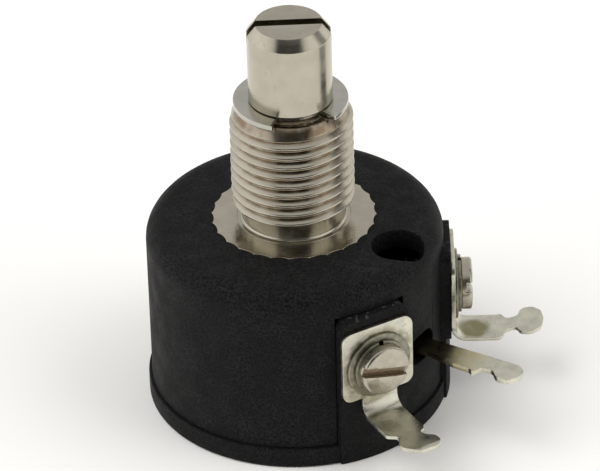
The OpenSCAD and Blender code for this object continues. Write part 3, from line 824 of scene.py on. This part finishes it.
class POTENTIOMETER_OT_shaft(PieceOperator):
    """Make the slotted shaft and its retaining clip"""

    bl_idname = "potentiometer.shaft"
    bl_label = "Shaft and clip"

    def execute(self, context):
        s = context.scene.pot_shaft
        c = context.scene.pot_finishes
        top = SHAFT_HIGH.z
        foot = SHAFT_LOW.z
        seat = foot + 0.4 * MM
        shoulder = seat + s.spindle_l
        spindle_r = s.spindle_d / 2
        stake_r = spindle_r + 0.45 * MM
        groove_r = SHAFT_R - s.groove
        groove_low = CLIP_LOW.z - 0.05 * MM
        groove_high = CLIP_HIGH.z + 0.05 * MM
        section = rounded([(CORE, foot, 0), (stake_r, foot, 0.12 * MM), (stake_r, seat, 0.1 * MM),
                           (spindle_r, seat, 0), (spindle_r, shoulder, 0), (SHAFT_R, shoulder, 0.1 * MM),
                           (SHAFT_R, groove_low, 0.04 * MM), (groove_r, groove_low, 0),
                           (groove_r, groove_high, 0), (SHAFT_R, groove_high, 0.06 * MM),
                           (SHAFT_R, top - s.chamfer_h, 0.12 * MM),
                           (SHAFT_R - s.chamfer_r, top, 0.07 * MM), (CORE, top, 0)], 4)
        piece = stand("slotted_shaft", turned(section, steps=160))
        weld(piece, rod(CORE * 2, foot, top, 12))
        reach = SHAFT_R + OVER
        slot = brick((-reach, -s.slot_w / 2, top - s.slot_h), (reach, s.slot_w / 2, top + OVER))
        cut(piece, swung(slot, s.slot_turn))
        soften(piece, 0.03 * MM, math.radians(50))
        finish = turned_metal("Nickel plate, shaft", c.nickel, c.tarnish, line=0.035)
        declare(piece, "shaft", "rotor", finish)

        # The clip is sheared from sheet, so its edges are nearly square
        section = oblong(s.clip_in, -CLIP_LOW.x, CLIP_LOW.z, CLIP_HIGH.z, [0.05 * MM] * 4, 3)
        clip = stand("clip", turned(section, 128, FULL_TURN - s.clip_gap, s.clip_turn + s.clip_gap / 2))
        soften(clip, 0.03 * MM, math.radians(50))
        steel = turned_metal("Satin steel, clip", c.steel, c.tarnish, line=0.09)
        declare(clip, "retaining_clip", "rotor", steel)
        return {"FINISHED"}


# Lug outlines as (distance from the shaft's axis, distance across, radius), in millimetres
LUGS = {
    "1": [(14.75, -1.32, 0.25), (15.2, -0.78, 0.3), (15.8, -0.8, 0.4), (16.15, -1.22, 0.4),
          (16.85, -1.2, 0.7), (17.85, -0.3, 0.9), (17.92, 1.1, 0.7), (17.3, 1.62, 0.6),
          (16.6, 1.58, 0.6), (16.1, 1.08, 0.3), (15.62, 0.9, 0.25), (15.35, 1.42, 0.12), (14.9, 1.55, 0.3)],
    "3": [(14.85, -1.5, 0.3), (15.25, -0.62, 0.4), (15.95, -0.45, 0.35), (16.25, -1.15, 0.35),
          (17.0, -1.45, 0.9), (17.75, -1.0, 0.8), (18.02, 0.1, 0.9), (17.85, 1.15, 0.7), (17.25, 1.8, 0.8),
          (16.4, 1.8, 0.7), (16.1, 0.9, 0.35), (15.3, 0.72, 0.4), (14.95, 1.45, 0.25)],
}


def lug_outline(t, name, to_flat):
    """Outline of the flat blank, as distance down the sheet and distance across it."""
    half = t.plate_w / 2
    corner = t.plate_corner
    head = [(r * MM + to_flat, across * MM, radius * MM) for r, across, radius in LUGS[name]]
    near = head[0][1]
    far = head[-1][1]
    return rounded([(0, -half, corner), (t.plate_w, -half, corner), (t.plate_w, near, 0.12 * MM), *head,
                    (t.plate_w, far, 0.12 * MM), (t.plate_w, half, corner), (0, half, corner)], 6)


class POTENTIOMETER_OT_end_terminals(PieceOperator):
    """Make the two stamped end terminals"""

    bl_idname = "potentiometer.end_terminals"
    bl_label = "End terminals"

    def execute(self, context):
        s = context.scene.pot_body
        t = context.scene.pot_terminals
        c = context.scene.pot_finishes
        pad_x = COVER_R + s.pad_proud
        top = LUG_HIGH.z
        bend_x = pad_x + t.sheet + t.bend_r
        bend_z = LUG_LOW.z + t.sheet + t.bend_r
        # Distances down the sheet's back, where it meets the pad
        straight = top - bend_z
        outer = t.bend_r + t.sheet
        swept = outer * math.pi / 2
        lug_start = straight + swept
        flat_end = lug_start - (bend_x - pad_x)
        lift_from = flat_end + t.strap_end - 0.2 * MM
        lift_to = flat_end + t.reach
        lifts = {"1": t.head_lift_1, "3": t.head_lift_3}
        for name, angle in TERMINALS.items():
            bm = stamped(lug_outline(t, name, flat_end - pad_x), t.sheet, 0.045 * MM)
            # Cuts across the blank, where it is bent and where its head is lifted
            lines = [straight + swept * k / 14 for k in range(15)]
            lines += [lift_from + (lift_to - lift_from) * k / 6 for k in range(6)]
            for line in lines:
                geom = bm.verts[:] + bm.edges[:] + bm.faces[:]
                bmesh.ops.bisect_plane(bm, geom=geom, plane_co=(line, 0, 0), plane_no=(1, 0, 0), dist=WELD)
            for v in bm.verts:
                down, across, out = v.co
                lift = max(0.0, down - lift_from) / (lift_to - lift_from)
                if down < straight:
                    v.co = (pad_x + out, across, top - down)
                elif down < lug_start:
                    a = (down - straight) / outer
                    r = outer - out
                    v.co = (bend_x - r * math.cos(a), across, bend_z - r * math.sin(a))
                else:
                    v.co = (bend_x + down - lug_start, across, LUG_LOW.z + out + lifts[name] * lift)
            bmesh.ops.recalc_face_normals(bm, faces=bm.faces)
            piece = stand("terminal_" + name, swung(bm, angle))
            hole = along_x(rod(t.screw_d / 2 + FIT, -OVER, t.sheet + OVER, 48), pad_x, t.screw_z)
            cut(piece, swung(hole, angle))
            stain = None
            if name == "3":
                stain = Matrix.Rotation(angle, 3, "Z") @ Vector((*mm(12.9, -0.3), LUG_LOW.z + t.sheet))
            finish = sheet_finish("Tin plate, terminal " + name, c.tin, c.tarnish, angle, t.screw_z, stain)
            declare(piece, "end_terminal_" + name, "housing", finish)
        return {"FINISHED"}


class POTENTIOMETER_OT_screws(PieceOperator):
    """Make the terminal screws and their washers"""

    bl_idname = "potentiometer.screws"
    bl_label = "Terminal screws and washers"

    def execute(self, context):
        s = context.scene.pot_body
        t = context.scene.pot_terminals
        c = context.scene.pot_finishes
        plate_x = COVER_R + s.pad_proud + t.sheet
        back_x = COVER_R + s.pad_proud - s.block_t
        flat_x = plate_x + t.washer_t
        seat_x = flat_x + t.lock_t
        hole_r = t.screw_d / 2 + FIT
        turns = {"1": t.slot_turn_1, "3": t.slot_turn_3}
        for name, angle in TERMINALS.items():
            washer = oblong(hole_r, t.washer_d / 2, 0, t.washer_t, mm(0.03, 0.03, 0.08, 0.03), 4)
            bm = along_x(turned(washer, 96), plate_x, t.screw_z)
            piece = stand("washer_" + name, swung(bm, angle))
            finish = plain_finish("Stained steel, washer " + name, c.stained, 0.3, 1.0, 0.5 * MM)
            declare(piece, "flat_washer_" + name, "housing", finish)

            split = math.radians(11)
            lock = oblong(hole_r, t.lock_d / 2, 0, t.lock_t, mm(0.03, 0.04, 0.04, 0.03), 3)
            bm = turned(lock, 90, FULL_TURN - split, math.pi + split / 2)
            piece = stand("lock_" + name, swung(along_x(bm, flat_x, t.screw_z), angle))
            finish = plain_finish("Stained steel, lock washer " + name, c.stained, 0.35, 1.0, 0.4 * MM)
            declare(piece, "lock_washer_" + name, "housing", finish)

            head_r = t.screw_head_d / 2
            shank = seat_x - back_x
            screw = stand("screw_" + name, threaded(t.screw_d / 2, 0.26 * MM, t.screw_pitch, 0, shank, 32))
            blank = rounded([(CORE, 0, 0), (t.screw_d / 2 - 0.3 * MM, 0, 0), (t.screw_d / 2, 0.3 * MM, 0),
                             (t.screw_d / 2, shank + 0.2 * MM, 0), (CORE, shank + 0.2 * MM, 0)], 2)
            combine(screw, turned(blank, 48), "INTERSECT")
            high = shank + t.screw_head_h
            head = rounded([(CORE, shank, 0), (head_r, shank, 0.1 * MM),
                            (head_r, high - 0.07 * MM, 0.22 * MM), (head_r * 0.45, high, 1.2 * MM),
                            (CORE, high, 0)], 5)
            weld(screw, turned(head, 96))
            weld(screw, rod(CORE * 2, 0.1 * MM, high, 12))
            half = Vector((t.slot_w / 2, head_r + FIT, t.slot_h))
            middle = Vector((0, 0, high))
            cut(screw, swung(brick(middle - half, middle + half), turns[name]))
            soften(screw, 0.035 * MM, math.radians(50))
            matrix = (Matrix.Rotation(angle, 4, "Z") @ Matrix.Translation((back_x, 0, t.screw_z))
                      @ Matrix.Rotation(math.pi / 2, 4, "Y"))
            screw.data.transform(matrix)
            finish = screw_finish("Nickel plate, screw " + name, c.nickel, c.tarnish, angle,
                                  back_x + high, head_r - 0.05 * MM)
            declare(screw, "terminal_screw_" + name, "housing", finish)
        return {"FINISHED"}


class POTENTIOMETER_OT_middle_terminal(PieceOperator):
    """Make the flat middle terminal"""

    bl_idname = "potentiometer.middle_terminal"
    bl_label = "Middle terminal"

    def execute(self, context):
        t = context.scene.pot_terminals
        c = context.scene.pot_finishes
        side = t.strip_w / 2
        tip = STRIP_HIGH.x
        head = side - t.strip_head
        root = 3 * MM
        thickness = STRIP_HIGH.z - STRIP_LOW.z
        # The notch behind the round head, with a burr before it: back from the tip, across, radius
        notch = [(3.65, -1.04, 0.3), (3.38, -1.2, 0.08), (3.2, -1.1, 0.1), (3.05, -0.52, 0.25),
                 (2.1, -0.4, 0.4)]
        outline = [(root, -side * 0.5, 0), (tip - 7.2 * MM, -side * 0.52, 0.5 * MM),
                   (tip - 5.0 * MM, -side * 0.93, 0.5 * MM),
                   *((tip - back * MM, across * MM, radius * MM) for back, across, radius in notch),
                   (tip - 1.5 * MM, head, 0.6 * MM), (tip - 0.6 * MM, head, 0.7 * MM),
                   (tip, *mm(-0.3, 0.6)), (tip, *mm(0.5, 0.5)),
                   (tip - 0.6 * MM, side - 0.06 * MM, 0.6 * MM), (root, side, 0)]
        bm = stamped(rounded(outline, 5), thickness, 0.06 * MM)
        bmesh.ops.translate(bm, vec=UP * STRIP_LOW.z, verts=bm.verts)
        piece = stand("middle_strip", bm)
        weld(piece, turned(oblong(RIVET_HOLE_R, 4.2 * MM, STRIP_LOW.z, STRIP_HIGH.z), 96))
        # Yellow wear towards the body, with a painted reflection of the black moulding beside the body
        finish = sheet_finish("Tin plate, strip", c.tin, c.tarnish, wear_and_painted_reflection=mm(13.5, 16.5))
        declare(piece, "middle_terminal", "housing", finish)
        return {"FINISHED"}


class POTENTIOMETER_OT_inside(PieceOperator):
    """Make the winding, the collector and the finishes of the other inner pieces"""

    bl_idname = "potentiometer.inside"
    bl_label = "Inner pieces"

    def execute(self, context):
        low_z, high_z = WINDING_LOW.z, WINDING_HIGH.z
        outer = -WINDING_LOW.x
        wire = 0.15 * MM
        inner = outer - 0.9 * MM
        turns = 220
        per_turn = 4
        gap = math.radians(27)
        sweep = FULL_TURN - 2 * gap
        ridge = 0.03 * MM
        # Two walls and two crowns of close turns, with the former's slot between them
        bm = turned(oblong(inner, outer, low_z, high_z), turns * per_turn, sweep, gap)
        middle_r = (inner + outer) / 2
        for v in bm.verts:
            around = (math.atan2(v.co.y, v.co.x) - gap) % FULL_TURN
            phase = around / sweep * turns
            swell = ridge * (0.5 - 0.5 * math.cos(FULL_TURN * phase))
            radius = v.co.xy.length
            pull = (1 if radius < middle_r else -1) * swell
            v.co.xy *= (radius + pull) / radius
        former_slot = oblong(inner + wire, outer - wire, low_z + wire, high_z - wire)
        piece = stand("winding", bm)
        cut(piece, turned(former_slot, 300, sweep + 0.02, gap - 0.01))
        wire_finish = plain_finish("Resistance wire", (0.42, 0.35, 0.27), 0.35, 1.0, 0.3 * MM)
        declare(piece, "resistance_winding", "housing", wire_finish)

        brass = plain_finish("Brass", (0.72, 0.56, 0.30), 0.25, 1.0, 0.8 * MM)
        ring = oblong(RIVET_HOLE_R, -RING_LOW.x, RING_LOW.z, RING_HIGH.z, mm(0, 0, 0.08, 0.03), 3)
        piece = stand("ring", turned(ring, 128))
        declare(piece, "collector_ring", "housing", brass)
        bore, barrel, roll = mm(1.2, 1.55, 0.09)
        lip = -RIVET_LOW.x
        rivet = rounded([(bore, RIVET_LOW.z, 0.15 * MM), (lip, RIVET_LOW.z, roll), (lip, RECESS_H, roll),
                         (barrel, RECESS_H, 0), (barrel, RING_HIGH.z, 0), (lip, RING_HIGH.z, roll),
                         (lip, RIVET_HIGH.z, roll), (bore, RIVET_HIGH.z, 0.15 * MM)], 4)
        piece = stand("rivet", turned(rivet, 96))
        declare(piece, "collector_rivet", "housing", brass)

        laminate = plain_finish("Resin-bonded paper", (0.16, 0.07, 0.03), 0.45, 0.0, 0.6 * MM)
        finishes = {
            "winding_former": laminate,
            "rotor_hub": laminate,
            "thrust_washer": plain_finish("Fibre", (0.62, 0.56, 0.45), 0.6, 0.0, 0.3 * MM),
            "wiper_spring": plain_finish("Bronze", (0.62, 0.40, 0.22), 0.28, 1.0, 0.7 * MM),
            "contact_brush": plain_finish("Carbon", (0.03, 0.03, 0.03), 0.5, 0.0, 0.1 * MM),
            "square_nut_1": brass,
            "square_nut_3": brass,
        }
        for node, finish in finishes.items():
            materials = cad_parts[node].data.materials
            materials.clear()
            materials.append(finish)
        return {"FINISHED"}


# Each light's name, its place in metres as the camera faces, and its power in watts
LAMPS = (("key", (-0.45, -0.15, 0.75), 3.6), ("fill", (0.55, -0.1, 0.6), 2.0))


class POTENTIOMETER_OT_stage(PieceOperator):
    """Make the floor, the light and the camera"""

    bl_idname = "potentiometer.stage"
    bl_label = "Stage"

    def execute(self, context):
        scene = context.scene
        s = scene.pot_stage
        scene.view_settings.view_transform = "Standard"

        floor_bm = bmesh.new()
        bmesh.ops.create_grid(floor_bm, x_segments=1, y_segments=1, size=3.0)
        bmesh.ops.translate(floor_bm, vec=(0, 0, -0.02 * MM), verts=floor_bm.verts)
        floor = stand("floor", floor_bm)
        paper = Finish("Pale floor", roughness=0.9, specular=0.1)
        paper.colour(paper.mix(paper.noise(40 * MM, 2), (0.90, 0.895, 0.885), (0.92, 0.915, 0.905)))
        floor.data.materials.append(paper.material)

        # Camera
        look = Matrix.Rotation(s.azimuth, 3, "Z")
        ahead = look @ Vector((0, math.cos(s.tilt), -math.sin(s.tilt)))
        right = look @ Vector((1, 0, 0))
        up = right.cross(ahead)
        rolled_right = math.cos(s.roll) * right + math.sin(s.roll) * up
        rolled_up = math.cos(s.roll) * up - math.sin(s.roll) * right
        data = bpy.data.cameras.new("camera")
        data.lens = s.lens
        data.sensor_width = 36
        data.clip_start = 0.01
        data.clip_end = 20
        camera = bpy.data.objects.new("camera", data)
        place = Vector((0, 0, s.aim_z)) - ahead * s.distance
        place += rolled_right * s.shift_x + rolled_up * s.shift_y
        basis = Matrix((rolled_right, rolled_up, -ahead)).transposed().to_4x4()
        camera.matrix_world = Matrix.Translation(place) @ basis
        scene.collection.objects.link(camera)
        scene.camera = camera

        # A dark card on the floor beside the object, seen only in reflections
        card_bm = bmesh.new()
        corners = ((33, -1.0), (54, -1.6), (54, 22.0), (33, 13.5))
        verts = [card_bm.verts.new(mm(x, y, 0.05)) for x, y in corners]
        bmesh.ops.contextual_create(card_bm, geom=verts)
        bmesh.ops.rotate(card_bm, verts=card_bm.verts, matrix=look)
        card = stand("dark_card", card_bm)
        felt = Finish("Dark felt", roughness=0.9, specular=0.1)
        felt.colour(felt.mix(felt.noise(2 * MM, 2), (0.05, 0.05, 0.05), (0.09, 0.09, 0.085)))
        card.data.materials.append(felt.material)
        card.visible_camera = False
        card.visible_shadow = False
        card.visible_diffuse = False

        self.light(scene, look)
        return {"FINISHED"}

    def light(self, scene, look):
        """A pale tent, darker above the camera, with two broad soft lights."""
        world = bpy.data.worlds.new("tent")
        world.use_nodes = True
        scene.world = world
        tent = Nodes(world.node_tree)
        background = tent.tree.nodes["Background"]
        toward = tent.add("ShaderNodeTexCoord", {}).outputs["Generated"]
        across, near, high = (
            tent.add("ShaderNodeVectorMath", {0: toward, 1: axis}, operation="DOT_PRODUCT").outputs["Value"]
            for axis in (look @ Vector((1, 0, 0)), look @ Vector((0, -1, 0)), UP))
        side = tent.times(across, across)
        walls = tent.remap(side, 0.0, 0.8, 0.66, 1.15)
        # A dark hood over the camera, and a dark seam in the tent's right side
        hood = tent.times(tent.remap(side, 0.20, 0.34, 1.0, 0.0), tent.remap(high, 0.77, 0.87, 1.0, 0.0))
        hood = tent.times(hood, tent.remap(near, 0.15, 0.35, 0.0, 0.9))
        slope = tent.maths("DIVIDE", near, tent.maths("MAXIMUM", across, 0.05))
        seam = tent.times(tent.remap(slope, -0.50, -0.36), tent.remap(slope, -0.04, 0.04, 1.0, 0.0))
        seam = tent.times(seam, tent.remap(across, 0.25, 0.4, 0.0, 0.75))
        glow = tent.times(walls, tent.maths("SUBTRACT", 1.0, hood))
        glow = tent.times(glow, tent.maths("SUBTRACT", 1.0, seam))
        tent.tree.links.new(glow, background.inputs["Strength"])
        background.inputs["Color"].default_value = (1.0, 0.995, 0.98, 1)

        # Broad lights that fill the floor and the moulding, and that nothing mirrors
        for name, spot, energy in LAMPS:
            light = bpy.data.lights.new(name, "AREA")
            light.shape = "DISK"
            light.size = 0.7
            light.energy = energy
            light.color = (1.0, 0.985, 0.96)
            lamp = bpy.data.objects.new(name, light)
            lamp.visible_glossy = False
            spot = look @ Vector(spot)
            aim = (-spot).to_track_quat("-Z", "Y")
            lamp.matrix_world = Matrix.Translation(spot) @ aim.to_matrix().to_4x4()
            scene.collection.objects.link(lamp)


class POTENTIOMETER_PT_panel(bpy.types.Panel):
    """Buttons for the potentiometer's pieces"""

    bl_idname = "POTENTIOMETER_PT_panel"
    bl_label = "Potentiometer"
    bl_space_type = "VIEW_3D"
    bl_region_type = "UI"
    bl_category = "Potentiometer"

    def draw(self, context):
        layout = self.layout
        for operator in OPERATORS:
            layout.operator(operator.bl_idname)
        for name, group in GROUPS.items():
            box = layout.box()
            settings = getattr(context.scene, name)
            for field in group.__annotations__:
                box.prop(settings, field)


OPERATORS = (
    POTENTIOMETER_OT_stage,
    POTENTIOMETER_OT_cover,
    POTENTIOMETER_OT_base,
    POTENTIOMETER_OT_bushing,
    POTENTIOMETER_OT_shaft,
    POTENTIOMETER_OT_end_terminals,
    POTENTIOMETER_OT_screws,
    POTENTIOMETER_OT_middle_terminal,
    POTENTIOMETER_OT_inside,
)
CLASSES = (*GROUPS.values(), *OPERATORS, POTENTIOMETER_PT_panel)


def register():
    for cls in CLASSES:
        bpy.utils.register_class(cls)
    for name, group in GROUPS.items():
        setattr(bpy.types.Scene, name, PointerProperty(type=group))


def unregister():
    for name in GROUPS:
        delattr(bpy.types.Scene, name)
    for cls in reversed(CLASSES):
        bpy.utils.unregister_class(cls)


def main():
    """Makes every piece."""
    register()
    for operator in OPERATORS:
        name = operator.bl_idname.split(".")[1]
        getattr(bpy.ops.potentiometer, name)()


if __name__ == "__main__":
    main()
